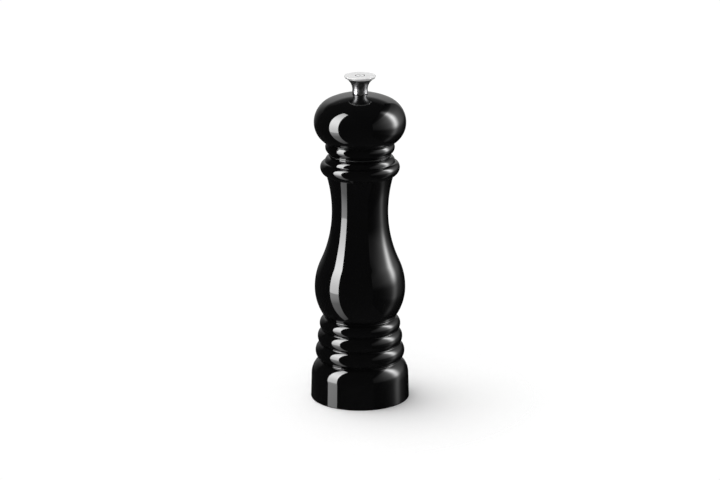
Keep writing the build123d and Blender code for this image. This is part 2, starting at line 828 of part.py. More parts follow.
# --- Screws -------------------------------------------------------------------------------
def screw_set(circle, start_angle, seat_z, points_up, shank, length, head, head_height, sunk):
    """Make one circle of cross-slot screws; seat_z is the face under the head.

    A sunk head lies inside the seat's counterbore, so it starts at its own lower face.
    """
    way = 1 if points_up else -1
    with BuildPart() as made:
        with PolarLocations(circle, screw_count, start_angle=start_angle):
            with Locations((0, 0, seat_z)):
                Cylinder(
                    shank,
                    length,
                    align=(Align.CENTER, Align.CENTER, Align.MIN if points_up else Align.MAX),
                )
                Cylinder(
                    head,
                    head_height,
                    align=(Align.CENTER, Align.CENTER, Align.MAX if points_up else Align.MIN),
                )
        outer_z = seat_z - way * head_height
        rims = made.edges().filter_by(GeomType.CIRCLE).filter_by(
            lambda edge: abs(edge.center().Z - outer_z) < 1e-4
        )
        if not sunk:
            fillet(rims, head_height * screw_round_share)
        with PolarLocations(circle, screw_count, start_angle=start_angle):
            with Locations((0, 0, outer_z)):
                for turn in (0, 90):
                    Box(
                        head * slot_share,
                        slot_width,
                        slot_depth * 2,
                        rotation=(0, 0, turn),
                        mode=Mode.SUBTRACT,
                    )
    return made


bridge_screws = screw_set(
    bridge_screw_circle,
    0,
    bridge_top_z - bridge_screw_head_height,
    False,
    bridge_screw_radius,
    bridge_screw_length,
    bridge_screw_head,
    bridge_screw_head_height,
    True,
)
save(bridge_screws, "bridge_screws")

retaining_screws = screw_set(
    plate_screw_circle,
    plate_screw_angle,
    plate_z,
    True,
    plate_screw_radius,
    plate_screw_length,
    plate_screw_head,
    plate_screw_head_height,
    False,
)
save(retaining_screws, "retaining_screws")

housing_screws = screw_set(
    flange_screw_circle,
    flange_screw_angle,
    flange_bottom_z,
    True,
    flange_screw_radius,
    flange_screw_length,
    flange_screw_head,
    flange_screw_head_height,
    False,
)
save(housing_screws, "housing_screws")

drive_plate_screws = screw_set(
    drive_screw_circle,
    drive_screw_angle,
    web_z - drive_plate_thickness,
    True,
    drive_screw_radius,
    drive_screw_length,
    drive_screw_head,
    drive_screw_head_height,
    False,
)
save(drive_plate_screws, "drive_plate_screws")
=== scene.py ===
"""Pepper mill: gloss black casings, steel thumb nut and the grinder inside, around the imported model."""
import bmesh
import bpy
import json
import math
from collections import namedtuple
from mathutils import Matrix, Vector


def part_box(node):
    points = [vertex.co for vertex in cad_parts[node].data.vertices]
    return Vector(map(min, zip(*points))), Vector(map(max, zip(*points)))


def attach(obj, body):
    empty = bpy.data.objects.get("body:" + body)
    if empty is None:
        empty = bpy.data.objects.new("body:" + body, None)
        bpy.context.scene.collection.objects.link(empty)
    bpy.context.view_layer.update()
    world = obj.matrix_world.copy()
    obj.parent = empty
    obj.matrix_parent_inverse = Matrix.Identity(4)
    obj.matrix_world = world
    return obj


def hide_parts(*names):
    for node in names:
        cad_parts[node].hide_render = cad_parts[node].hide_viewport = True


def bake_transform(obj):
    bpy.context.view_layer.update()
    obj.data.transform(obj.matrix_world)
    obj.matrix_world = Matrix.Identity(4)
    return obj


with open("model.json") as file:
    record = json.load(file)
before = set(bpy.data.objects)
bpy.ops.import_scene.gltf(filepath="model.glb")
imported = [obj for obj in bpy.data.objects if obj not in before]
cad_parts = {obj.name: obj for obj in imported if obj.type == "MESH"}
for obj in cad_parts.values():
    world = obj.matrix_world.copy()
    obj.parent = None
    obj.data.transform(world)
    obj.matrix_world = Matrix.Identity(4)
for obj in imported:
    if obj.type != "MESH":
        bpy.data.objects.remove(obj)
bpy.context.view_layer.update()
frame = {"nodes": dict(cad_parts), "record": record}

MM = 0.001
FULL_TURN = 2 * math.pi
TOLERANCE = 1e-6               # two places closer than this are one

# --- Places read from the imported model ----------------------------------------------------
BODY_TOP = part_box("body_shell")[1][2]
LINER_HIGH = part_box("chamber_liner")[1]
HOUSING_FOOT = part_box("grinder_housing")[0][2]
HEAD_LOW, HEAD_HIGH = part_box("head_shell")
NUT_LOW, NUT_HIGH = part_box("knob")
HEAD_FOOT = HEAD_LOW[2]
NUT_SEAT = NUT_LOW[2]
NUT_TOP = NUT_HIGH[2]

# --- Outside of the casings, in metres ----------------------------------------------------
FACET = math.radians(3.5)      # largest turn between two points of a round
CHORD = 0.9 * MM               # longest step along a round
GROOVE_ROOT = 0.45 * MM
SEAM_RADIUS = 19.5 * MM
BASE_RADIUS = 31.34 * MM
BASE_LEAN = 0.43 * MM
BASE_SIDE = 15.34 * MM
BASE_ROUND = 12.14 * MM
BEADS = (                      # radius and height of the crest, size of the round
    (28.35 * MM, 30.65 * MM, 6.44 * MM),
    (26.95 * MM, 40.11 * MM, 6.24 * MM),
    (25.67 * MM, 48.67 * MM, 5.05 * MM),
)
BELLY_RADIUS = 28.74 * MM
BELLY_Z = 72.8 * MM
BELLY_ROUND_BELOW = 32.5 * MM
BELLY_SHARE = 0.344            # how far up to the waist the belly's curve turns hollow
WAIST_RADIUS = 17.8 * MM
WAIST_Z = 122.4 * MM
COLLAR_RADIUS = 25.04 * MM
COLLAR_Z = BODY_TOP - 7.93 * MM
COLLAR_ROUND_BELOW = 5.6 * MM
COLLAR_ROUND_ABOVE = 3.75 * MM
COLLAR_NECK_RADIUS = 21.03 * MM
STEP_RADIUS = 22.07 * MM
STEP_Z = BODY_TOP - 4.34 * MM
STEP_ROUND = 3.99 * MM
HEAD_RING_RADIUS = 21.86 * MM
HEAD_RING_Z = HEAD_FOOT + 4.34 * MM
HEAD_RING_ROUND = 4.24 * MM
DOME_RADIUS = HEAD_HIGH[0]
DOME_Z = HEAD_FOOT + 20.2 * MM
DOME_ROUND_BELOW = 14.79 * MM
DOME_ROUND_ABOVE = 15.75 * MM
DOME_POLE = HEAD_FOOT + 38.83 * MM

# --- Inside of the casings, in metres -----------------------------------------------------
TABLE_Z = 0.0
RECESS_RADIUS = 27.79 * MM     # recess under the base
RECESS_FLOOR = HOUSING_FOOT + 3.5 * MM
CHAMBER_RADIUS = 18.0 * MM     # bore round the peppercorns, straight up to the chamber's height
CHAMBER_Z = 84 * MM
THROAT_RADIUS = 14.95 * MM     # narrower bore through the waist
THROAT_Z = 110 * MM
MOUTH_RADIUS = LINER_HIGH[0] + 0.2 * MM
LINER_SEAT_Z = LINER_HIGH[2] - 1.5 * MM
HEAD_WALL = 2.6 * MM
HEAD_BORE = 16.9 * MM
STEM_HOLE = 2.9 * MM
NUT_RECESS = 4.4 * MM
NUT_RECESS_FLOOR = DOME_POLE - 0.92 * MM


# --- Drawing outlines: points are (radius, height) ----------------------------------------
# A round has its centre's radius and height, and a size that is negative where it is hollow.
# A corner has its place and the size of the round on it, 0 where it stays sharp.
Round = namedtuple("Round", "radius height size")
Corner = namedtuple("Corner", "radius height rounding", defaults=(0.0,))


def crest(radius, height, size):
    """Round that swells out to a radius."""
    return Round(radius - size, height, size)


def hollow(radius, height, size):
    """Round that draws in to a radius."""
    return Round(radius + size, height, -size)


def edge_height(ring, radius, side):
    """Height at which a round passes a radius, on its upper side (1) or its lower side (-1)."""
    return ring.height + side * math.sqrt(ring.size**2 - (radius - ring.radius) ** 2)


def arc(centre, radius, start, end):
    """Points on a round from start to end, the short way."""
    first = math.atan2(start[1] - centre[1], start[0] - centre[0])
    last = math.atan2(end[1] - centre[1], end[0] - centre[0])
    turn = (last - first + math.pi) % FULL_TURN - math.pi
    steps = max(2, math.ceil(abs(turn) / FACET), math.ceil(abs(turn) * radius / CHORD))
    return [
        (
            centre[0] + radius * math.cos(first + turn * i / steps),
            centre[1] + radius * math.sin(first + turn * i / steps),
        )
        for i in range(steps + 1)
    ]


def groove_root(lower, upper):
    """Centre of the small round between two rounds, and where it touches each of them."""
    reach = [abs(ring.size + GROOVE_ROOT) for ring in (lower, upper)]
    step_r, step_z = upper.radius - lower.radius, upper.height - lower.height
    apart = math.hypot(step_r, step_z)
    along = (apart**2 + reach[0] ** 2 - reach[1] ** 2) / (2 * apart)
    aside = math.sqrt(reach[0] ** 2 - along**2)
    way = -1 if lower.size > 0 else 1
    centre = (
        lower.radius + (step_r * along - way * step_z * aside) / apart,
        lower.height + (step_z * along + way * step_r * aside) / apart,
    )
    touches = []
    for ring, span in zip((lower, upper), reach):
        share = abs(ring.size) / span
        touch_r = ring.radius + (centre[0] - ring.radius) * share
        touch_z = ring.height + (centre[1] - ring.height) * share
        touches.append((touch_r, touch_z))
    return centre, touches


def round_chain(start, rounds, joins, end):
    """Outline through a row of rounds. A join is the point two of them share, None for a groove."""
    points = [start]
    here = start
    for i, ring in enumerate(rounds):
        centre, size = (ring.radius, ring.height), abs(ring.size)
        if i == len(joins):
            points += arc(centre, size, here, end)
        elif joins[i] is None:
            root, (leave, arrive) = groove_root(ring, rounds[i + 1])
            points += arc(centre, size, here, leave)
            points += arc(root, GROOVE_ROOT, leave, arrive)[1:-1]
            here = arrive
        else:
            points += arc(centre, size, here, joins[i])[:-1]
            here = joins[i]
    return points


def eased(corners):
    """Outline through a row of corners, each with its round. The two end ones are sharp."""
    points = []
    for i, corner in enumerate(corners):
        if corner.rounding == 0:
            points.append(corner[:2])
            continue
        here = Vector(corner[:2])
        before = (Vector(corners[i - 1][:2]) - here).normalized()
        after = (Vector(corners[i + 1][:2]) - here).normalized()
        half = before.angle(after) / 2
        setback = corner.rounding / math.tan(half)
        centre = here + (before + after).normalized() * (corner.rounding / math.sin(half))
        points += arc(centre, corner.rounding, here + before * setback, here + after * setback)
    return points


def body_outline():
    """Closed outline of the body casing, outside and bore."""
    swell = BELLY_RADIUS - WAIST_RADIUS
    rounds_sum = (swell**2 + (WAIST_Z - BELLY_Z) ** 2) / (2 * swell)
    belly_above = BELLY_SHARE * rounds_sum
    waist_below = rounds_sum - belly_above
    turn = (BELLY_RADIUS - BELLY_SHARE * swell, BELLY_Z + BELLY_SHARE * (WAIST_Z - BELLY_Z))
    neck_rise = COLLAR_Z - COLLAR_ROUND_BELOW - WAIST_Z
    flare = COLLAR_NECK_RADIUS - WAIST_RADIUS
    waist_above = (neck_rise**2 + flare**2) / (2 * flare)
    side_top = (BASE_RADIUS - BASE_LEAN, BASE_SIDE)
    step = crest(STEP_RADIUS, STEP_Z, STEP_ROUND)
    neck_foot = (SEAM_RADIUS, edge_height(step, SEAM_RADIUS, 1))
    rounds = [crest(side_top[0], BASE_SIDE, BASE_ROUND)]
    rounds += [crest(*bead) for bead in BEADS]
    rounds += [
        crest(BELLY_RADIUS, BELLY_Z, BELLY_ROUND_BELOW),
        crest(BELLY_RADIUS, BELLY_Z, belly_above),
        hollow(WAIST_RADIUS, WAIST_Z, waist_below),
        hollow(WAIST_RADIUS, WAIST_Z, waist_above),
        crest(COLLAR_RADIUS, COLLAR_Z, COLLAR_ROUND_BELOW),
        crest(COLLAR_RADIUS, COLLAR_Z, COLLAR_ROUND_ABOVE),
        step,
    ]
    joins = [None] * (1 + len(BEADS))
    joins += [(BELLY_RADIUS, BELLY_Z), turn, (WAIST_RADIUS, WAIST_Z)]
    joins += [None, (COLLAR_RADIUS, COLLAR_Z), None]
    outside = round_chain(side_top, rounds, joins, neck_foot)
    inside = eased(
        [
            Corner(*neck_foot),
            Corner(SEAM_RADIUS, BODY_TOP, rounding=0.03 * MM),
            Corner(MOUTH_RADIUS, BODY_TOP, rounding=0.4 * MM),
            Corner(MOUTH_RADIUS, LINER_SEAT_Z, rounding=0.2 * MM),
            Corner(THROAT_RADIUS, LINER_SEAT_Z, rounding=0.3 * MM),
            Corner(THROAT_RADIUS, THROAT_Z),
            Corner(CHAMBER_RADIUS, CHAMBER_Z),
            Corner(CHAMBER_RADIUS, RECESS_FLOOR, rounding=0.3 * MM),
            Corner(RECESS_RADIUS, RECESS_FLOOR, rounding=0.3 * MM),
            Corner(RECESS_RADIUS, TABLE_Z, rounding=0.5 * MM),
            Corner(BASE_RADIUS, TABLE_Z, rounding=0.6 * MM),
            Corner(*side_top),
        ]
    )
    return outside + inside[1:-1]


def dome_arcs(inset):
    """Rounds of the head's dome from low on its side to its pole, moved inwards, and their joins."""
    side = DOME_RADIUS - DOME_ROUND_ABOVE
    rise = DOME_POLE - DOME_Z
    crown = (side**2 + rise**2 - DOME_ROUND_ABOVE**2) / (2 * (rise - DOME_ROUND_ABOVE))
    crown_z = DOME_POLE - crown
    reach = math.hypot(side, DOME_Z - crown_z)
    share = (crown - inset) / reach
    join = (side * share, crown_z + (DOME_Z - crown_z) * share)
    rounds = [
        Round(DOME_RADIUS - DOME_ROUND_BELOW, DOME_Z, DOME_ROUND_BELOW - inset),
        Round(side, DOME_Z, DOME_ROUND_ABOVE - inset),
        Round(0.0, crown_z, crown - inset),
    ]
    return rounds, [(DOME_RADIUS - inset, DOME_Z), join]


def head_outline():
    """Closed outline of the head casing with its hollow and the hole for the stem."""
    rounds, joins = dome_arcs(0)
    inner_rounds, inner_joins = dome_arcs(HEAD_WALL)
    ring = crest(HEAD_RING_RADIUS, HEAD_RING_Z, HEAD_RING_ROUND)
    ring_foot = (SEAM_RADIUS, edge_height(ring, SEAM_RADIUS, -1))
    rim = (NUT_RECESS, edge_height(rounds[-1], NUT_RECESS, 1))
    mouth = (HEAD_BORE, edge_height(inner_rounds[0], HEAD_BORE, -1))
    top = (STEM_HOLE, edge_height(inner_rounds[-1], STEM_HOLE, 1))
    outside = round_chain(ring_foot, [ring] + rounds, [None] + joins, rim)
    inside = round_chain(mouth, inner_rounds, inner_joins, top)
    hole = eased(
        [
            Corner(*rim),
            Corner(NUT_RECESS, NUT_RECESS_FLOOR, rounding=0.1 * MM),
            Corner(STEM_HOLE, NUT_RECESS_FLOOR, rounding=0.15 * MM),
            Corner(*top),
        ]
    )
    foot = eased(
        [
            Corner(*mouth),
            Corner(HEAD_BORE, HEAD_FOOT, rounding=0.3 * MM),
            Corner(SEAM_RADIUS, HEAD_FOOT, rounding=0.04 * MM),
            Corner(*ring_foot),
        ]
    )
    return outside + hole[1:-1] + inside[::-1] + foot[1:-1]


# --- Making meshes ------------------------------------------------------------------------
SAME_CORNER = 1e-7             # corners closer than this are merged
SHARP = math.radians(32)
CASING_STEPS = 168
NUT_STEPS = 128


def add_object(name, bm):
    """Turn a bmesh into an object of the scene."""
    mesh = bpy.data.meshes.new(name)
    bm.to_mesh(mesh)
    bm.free()
    piece = bpy.data.objects.new(name, mesh)
    bpy.context.scene.collection.objects.link(piece)
    return piece


def finish_mesh(name, bm):
    """Turn a bmesh into an object with smooth faces and crisp edges."""
    bmesh.ops.remove_doubles(bm, verts=bm.verts, dist=SAME_CORNER)
    bmesh.ops.recalc_face_normals(bm, faces=bm.faces)
    for face in bm.faces:
        face.smooth = True
    for edge in bm.edges:
        if len(edge.link_faces) == 2 and edge.calc_face_angle() > SHARP:
            edge.smooth = False
    return add_object(name, bm)


def turned(name, outline, steps):
    """Spin a closed outline of (radius, height) points about the mill's axis."""
    bm = bmesh.new()
    corners = []
    for radius, height in outline:
        place = Vector((radius, 0, height))
        if not corners or (corners[-1].co - place).length > TOLERANCE:
            corners.append(bm.verts.new(place))
    edges = [bm.edges.new(pair) for pair in zip(corners, corners[1:])]
    if corners[0].co.x > TOLERANCE or corners[-1].co.x > TOLERANCE:
        edges.append(bm.edges.new((corners[-1], corners[0])))
    bmesh.ops.spin(
        bm,
        geom=corners + edges,
        cent=(0, 0, 0),
        axis=(0, 0, 1),
        angle=FULL_TURN,
        steps=steps,
        use_merge=True,
    )
    return finish_mesh(name, bm)


# --- Building with shader nodes -----------------------------------------------------------
def feed(tree, value, socket):
    """Give a socket a number, or another socket to read."""
    if isinstance(value, (int, float)):
        socket.default_value = value
    else:
        tree.links.new(value, socket)


def math_node(tree, operation, *values):
    """Add a Math node; each value is a number or a socket."""
    node = tree.nodes.new("ShaderNodeMath")
    node.operation = operation
    for value, socket in zip(values, node.inputs):
        feed(tree, value, socket)
    return node.outputs[0]


def raised(tree, mask, share, base):
    """A base value, raised by a share of a mask."""
    return math_node(tree, "MULTIPLY_ADD", mask, share, base)


def range_node(tree, value, span, result):
    """Map a value from one (low, high) span to another, clamped."""
    node = tree.nodes.new("ShaderNodeMapRange")
    tree.links.new(value, node.inputs["Value"])
    labels = ("From Min", "From Max", "To Min", "To Max")
    for label, number in zip(labels, (*span, *result)):
        node.inputs[label].default_value = number
    return node.outputs["Result"]


def noise_node(tree, place, scale, detail=2.0, roughness=0.5):
    """Add a noise texture; scale is a number or a socket."""
    node = tree.nodes.new("ShaderNodeTexNoise")
    tree.links.new(place, node.inputs["Vector"])
    feed(tree, scale, node.inputs["Scale"])
    node.inputs["Detail"].default_value = detail
    node.inputs["Roughness"].default_value = roughness
    return node.outputs["Fac"]


def object_coords(tree):
    return tree.nodes.new("ShaderNodeTexCoord").outputs["Object"]


def split_xyz(tree, place):
    node = tree.nodes.new("ShaderNodeSeparateXYZ")
    tree.links.new(place, node.inputs[0])
    return node.outputs


# --- Effects that several finishes share --------------------------------------------------
def group(name, inputs, outputs):
    """Start a shader node group from its inputs' names and defaults and its outputs' names."""
    tree = bpy.data.node_groups.new(name, "ShaderNodeTree")
    for label, value in inputs.items():
        socket = tree.interface.new_socket(name=label, in_out="INPUT", socket_type="NodeSocketFloat")
        socket.default_value = value
    for label in outputs:
        tree.interface.new_socket(name=label, in_out="OUTPUT", socket_type="NodeSocketFloat")
    source = tree.nodes.new("NodeGroupInput")
    sink = tree.nodes.new("NodeGroupOutput")
    return tree, source.outputs, sink.inputs


def moulding_group():
    """Moulded plastic: slow flow of the surface and a fine grain."""
    tree, source, sink = group(
        "moulding",
        {"Flow Scale": 60.0, "Grain Scale": 2500.0, "Grain": 0.5},
        ("Height", "Tone"),
    )
    place = object_coords(tree)
    flow = noise_node(tree, place, source["Flow Scale"])
    grain = noise_node(tree, place, source["Grain Scale"], detail=3.0, roughness=0.6)
    weighed = math_node(tree, "MULTIPLY", grain, source["Grain"])
    tree.links.new(math_node(tree, "ADD", flow, weighed), sink["Height"])
    tree.links.new(flow, sink["Tone"])
    return tree


WAVER_REACH = 0.2 * MM         # how far a tool's ring strays from a true circle


def turning_group():
    """Fine lines that tools leave: rings round the axis, or streaks along it with a low height share."""
    tree, source, sink = group(
        "turning",
        {"Rings per Metre": 9000.0, "Height Share": 1.0, "Waver": 0.15},
        ("Height", "Tone"),
    )
    place = object_coords(tree)
    axes = split_xyz(tree, place)
    square_x = math_node(tree, "MULTIPLY", axes["X"], axes["X"])
    square_y = math_node(tree, "MULTIPLY", axes["Y"], axes["Y"])
    radius = math_node(tree, "SQRT", math_node(tree, "ADD", square_x, square_y))
    waver = noise_node(tree, place, scale=90.0, detail=1.0)
    radius = raised(tree, waver, share=WAVER_REACH, base=radius)
    rise = math_node(tree, "MULTIPLY", axes["Z"], source["Height Share"])
    rings = tree.nodes.new("ShaderNodeCombineXYZ")
    for length, axis in ((radius, "X"), (rise, "Z")):
        count = math_node(tree, "MULTIPLY", length, source["Rings per Metre"])
        tree.links.new(count, rings.inputs[axis])
    fine = noise_node(tree, rings.outputs[0], scale=1.0, detail=3.0, roughness=0.7)
    broad = noise_node(tree, rings.outputs[0], scale=0.12)
    weighed = math_node(tree, "MULTIPLY", broad, source["Waver"])
    tree.links.new(math_node(tree, "ADD", fine, weighed), sink["Height"])
    tree.links.new(broad, sink["Tone"])
    return tree


SCUFF_RUNS = ((0.5, 14.0), (2.1, 18.0))  # turn in radians and stretch of each run of hairlines


def scuff_group():
    """Handling marks: sparse short hairlines and soft smears, 0 to 1."""
    tree, source, sink = group("scuffs", {"Scale": 350.0, "Amount": 0.3}, ("Mask", "Smear"))
    place = object_coords(tree)
    runs = []
    for turn, stretch in SCUFF_RUNS:
        mapping = tree.nodes.new("ShaderNodeMapping")
        mapping.inputs["Rotation"].default_value = (turn, turn * 0.6, turn * 1.3)
        mapping.inputs["Scale"].default_value = (1.0, stretch, 1.0)
        tree.links.new(place, mapping.inputs["Vector"])
        lines = noise_node(tree, mapping.outputs[0], source["Scale"], detail=1.0)
        runs.append(range_node(tree, lines, span=(0.66, 0.72), result=(0.0, 1.0)))
    marks = math_node(tree, "MAXIMUM", *runs)
    smear = noise_node(tree, place, scale=45.0, detail=3.0, roughness=0.55)
    tree.links.new(math_node(tree, "MULTIPLY", marks, source["Amount"]), sink["Mask"])
    tree.links.new(range_node(tree, smear, span=(0.4, 0.75), result=(0.0, 1.0)), sink["Smear"])
    return tree


GROUPS = {"moulding": moulding_group(), "turning": turning_group(), "scuffs": scuff_group()}


# --- Finishes -----------------------------------------------------------------------------
def start_material(name, **sockets):
    """New material with a Principled shader; sockets are its values that are the same all over."""
    material = bpy.data.materials.new(name)
    material.use_nodes = True
    tree = material.node_tree
    shader = tree.nodes["Principled BSDF"]
    for label, value in sockets.items():
        shader.inputs[label.replace("_", " ")].default_value = value
    return material, tree, shader


def use_group(tree, name, **values):
    """Place a shared effect with this finish's own values."""
    node = tree.nodes.new("ShaderNodeGroup")
    node.node_tree = GROUPS[name]
    for label, value in values.items():
        node.inputs[label.replace("_", " ")].default_value = value
    return node.outputs


def bump(tree, shader, height, strength, distance):
    node = tree.nodes.new("ShaderNodeBump")
    node.inputs["Strength"].default_value = strength
    node.inputs["Distance"].default_value = distance
    tree.links.new(height, node.inputs["Height"])
    tree.links.new(node.outputs["Normal"], shader.inputs["Normal"])


def two_tone(tree, shader, mask, first, second):
    """Base colour from one tone to another by a mask."""
    mix = tree.nodes.new("ShaderNodeMix")
    mix.data_type = "RGBA"
    mix.inputs["A"].default_value = (*first, 1.0)
    mix.inputs["B"].default_value = (*second, 1.0)
    tree.links.new(mask, mix.inputs["Factor"])
    tree.links.new(mix.outputs["Result"], shader.inputs["Base Color"])


def gloss_black():
    """Polished black casing: deep, hardly any texture, faint flow in its reflections."""
    material, tree, shader = start_material("gloss_black_casing", IOR=1.52)
    mould = use_group(tree, "moulding", Flow_Scale=140.0, Grain_Scale=3000.0, Grain=0.04)
    scuffs = use_group(tree, "scuffs", Scale=420.0, Amount=0.5)
    two_tone(tree, shader, mould["Tone"], (0.0019, 0.0019, 0.0020), (0.0028, 0.0028, 0.0029))
    rough = raised(tree, scuffs["Smear"], share=0.02, base=0.035)
    rough = raised(tree, scuffs["Mask"], share=0.05, base=rough)
    tree.links.new(rough, shader.inputs["Roughness"])
    bump(tree, shader, mould["Height"], strength=0.05, distance=0.02 * MM)
    return material


def steel(name, color, roughness, rings, strength, metallic=1.0, height_share=1.0):
    """Turned or drawn metal: rings is its lines per metre, strength how much they show."""
    material, tree, shader = start_material(name, Metallic=metallic)
    turning = use_group(
        tree, "turning", Rings_per_Metre=rings, Height_Share=height_share, Waver=0.3
    )
    scuffs = use_group(tree, "scuffs", Scale=900.0, Amount=0.4)
    darker = tuple(value * 0.86 for value in color)
    two_tone(tree, shader, turning["Tone"], darker, color)
    roughness_span = (roughness * 0.75, roughness * 1.3)
    rough = range_node(tree, turning["Height"], span=(0.3, 0.9), result=roughness_span)
    rough = raised(tree, scuffs["Mask"], share=0.12, base=rough)
    tree.links.new(rough, shader.inputs["Roughness"])
    bump(tree, shader, turning["Height"], strength, distance=0.01 * MM)
    return material


def plastic(name, dark, light, roughness, grain, strength):
    """Moulded satin plastic: grain is its specks per metre, strength how much they show."""
    material, tree, shader = start_material(name)
    mould = use_group(tree, "moulding", Flow_Scale=90.0, Grain_Scale=grain, Grain=1.0)
    scuffs = use_group(tree, "scuffs", Scale=500.0, Amount=0.5)
    two_tone(tree, shader, mould["Tone"], dark, light)
    rough = raised(tree, scuffs["Smear"], share=0.12, base=roughness - 0.05)
    rough = raised(tree, scuffs["Mask"], share=0.15, base=rough)
    tree.links.new(rough, shader.inputs["Roughness"])
    bump(tree, shader, mould["Height"], strength, distance=0.03 * MM)
    return material


def ceramic():
    """Fired, unglazed clay: warm white with a fine speckle."""
    material, tree, shader = start_material("fired_ceramic", Roughness=0.55)
    grit = noise_node(tree, object_coords(tree), scale=1800.0, roughness=0.8)
    speckle = range_node(tree, grit, span=(0.62, 0.7), result=(0.0, 1.0))
    mould = use_group(tree, "moulding", Flow_Scale=200.0, Grain_Scale=4000.0, Grain=1.2)
    clouds = math_node(tree, "MULTIPLY", mould["Tone"], 0.35)
    mask = math_node(tree, "MAXIMUM", speckle, clouds)
    two_tone(tree, shader, mask, (0.80, 0.78, 0.72), (0.52, 0.48, 0.40))
    bump(tree, shader, mould["Height"], strength=0.35, distance=0.04 * MM)
    return material


FINISHES = {
    "gloss_black": gloss_black(),
    # Nut top and rim band: a satin finish whose light, mostly diffuse grey partly stands in as painted
    # reflection of bright surroundings
    "knob_top": steel(
        "satin_nut_top_painted_sheen", (0.78, 0.78, 0.78), roughness=0.45, rings=3500.0, strength=0.03, metallic=0.2
    ),
    "mark": steel(
        "engraved_mark", (0.03, 0.03, 0.032), roughness=0.5, rings=3500.0, strength=0.03, metallic=0.6
    ),
    "knob_steel": steel(
        "polished_nut", (0.38, 0.38, 0.39), roughness=0.3, rings=3500.0, strength=0.02
    ),
    "bar_steel": steel(
        "drawn_bar", (0.60, 0.60, 0.62), roughness=0.3, rings=2500.0, strength=0.12, height_share=0.02
    ),
    "plate_steel": steel(
        "stamped_plate", (0.62, 0.62, 0.64), roughness=0.33, rings=2500.0, strength=0.08
    ),
    "screw_steel": steel(
        "plated_screw", (0.56, 0.56, 0.58), roughness=0.27, rings=4000.0, strength=0.06
    ),
    "spring_steel": steel(
        "spring_wire", (0.45, 0.45, 0.47), roughness=0.28, rings=4000.0, strength=0.06
    ),
    "brass": steel(
        "turned_brass", (0.72, 0.52, 0.24), roughness=0.28, rings=4000.0, strength=0.08
    ),
    "inner_black": plastic(
        "moulded_black",
        dark=(0.016, 0.016, 0.017),
        light=(0.030, 0.030, 0.032),
        roughness=0.42,
        grain=2600.0,
        strength=0.3,
    ),
    "liner": plastic(
        "liner_grey",
        dark=(0.10, 0.10, 0.105),
        light=(0.16, 0.16, 0.165),
        roughness=0.3,
        grain=2200.0,
        strength=0.2,
    ),
    "nylon": plastic(
        "natural_nylon",
        dark=(0.55, 0.53, 0.47),
        light=(0.66, 0.64, 0.58),
        roughness=0.38,
        grain=2000.0,
        strength=0.25,
    ),
    "nylon_black": plastic(
        "black_nylon",
        dark=(0.004, 0.004, 0.004),
        light=(0.008, 0.008, 0.008),
        roughness=0.45,
        grain=2000.0,
        strength=0.25,
    ),
    "ceramic": ceramic(),
}


def dress(piece, *finishes):
    """Give a piece its materials, in slot order."""
    piece.data.materials.clear()
    for finish in finishes:
        piece.data.materials.append(FINISHES[finish])


# --- The casings --------------------------------------------------------------------------
def make_body():
    piece = turned("body_casing", body_outline(), CASING_STEPS)
    dress(piece, "gloss_black")
    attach(piece, "body")
    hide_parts("body_shell")


def make_head():
    piece = turned("head_casing", head_outline(), CASING_STEPS)
    dress(piece, "gloss_black")
    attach(piece, "head")
    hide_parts("head_shell")


# --- The thumb nut ------------------------------------------------------------------------
NUT_SEAT_RADIUS = 4.95 * MM
NUT_WAIST_RADIUS = 4.8 * MM
NUT_WAIST_Z = NUT_SEAT + 2.3 * MM
NUT_BORE_RADIUS = 3.7 * MM
NUT_BORE_TOP = NUT_SEAT + 8.6 * MM
NUT_FLARE_RADIUS = 9.35 * MM
NUT_EDGE = 0.35 * MM
NUT_RIM = NUT_HIGH[0]
NUT_RIM_FOOT = NUT_TOP - 1.55 * MM
MARK_INNER = 2.6 * MM          # engraved ring and the dot in its middle
MARK_OUTER = 3.15 * MM
MARK_DOT = 0.5 * MM
MARK_FLOOR = NUT_TOP - 0.2 * MM
MARK_EDGE = 0.04 * MM
ENGRAVED_BELOW = NUT_TOP - 0.05 * MM
NUT_FINISHES = ("knob_steel", "knob_top", "mark")


def nut_outline():
    """Closed outline of the thumb nut, from the middle of its bore round to its top's middle."""
    rise, reach = NUT_RIM_FOOT - NUT_WAIST_Z, NUT_FLARE_RADIUS - NUT_WAIST_RADIUS
    neck_round = (rise**2 + reach**2) / (2 * reach)
    waist = (NUT_WAIST_RADIUS, NUT_WAIST_Z)
    flare = (NUT_FLARE_RADIUS, NUT_RIM_FOOT)
    neck = arc((NUT_WAIST_RADIUS + neck_round, NUT_WAIST_Z), neck_round, waist, flare)
    top = eased(
        [
            Corner(*flare),
            Corner(NUT_RIM, NUT_TOP - NUT_EDGE, rounding=0.25 * MM),
            Corner(NUT_RIM - NUT_EDGE, NUT_TOP, rounding=0.12 * MM),
            Corner(MARK_OUTER, NUT_TOP, rounding=MARK_EDGE),
            Corner(MARK_OUTER, MARK_FLOOR),
            Corner(MARK_INNER, MARK_FLOOR),
            Corner(MARK_INNER, NUT_TOP, rounding=MARK_EDGE),
            Corner(MARK_DOT, NUT_TOP, rounding=MARK_EDGE),
            Corner(MARK_DOT, MARK_FLOOR),
            Corner(0, MARK_FLOOR),
        ]
    )
    inside = eased(
        [
            Corner(0, NUT_BORE_TOP),
            Corner(NUT_BORE_RADIUS, NUT_BORE_TOP, rounding=0.2 * MM),
            Corner(NUT_BORE_RADIUS, NUT_SEAT, rounding=0.15 * MM),
            Corner(NUT_SEAT_RADIUS, NUT_SEAT, rounding=0.2 * MM),
            Corner(*waist),
        ]
    )
    return inside[:-1] + neck + top[1:]


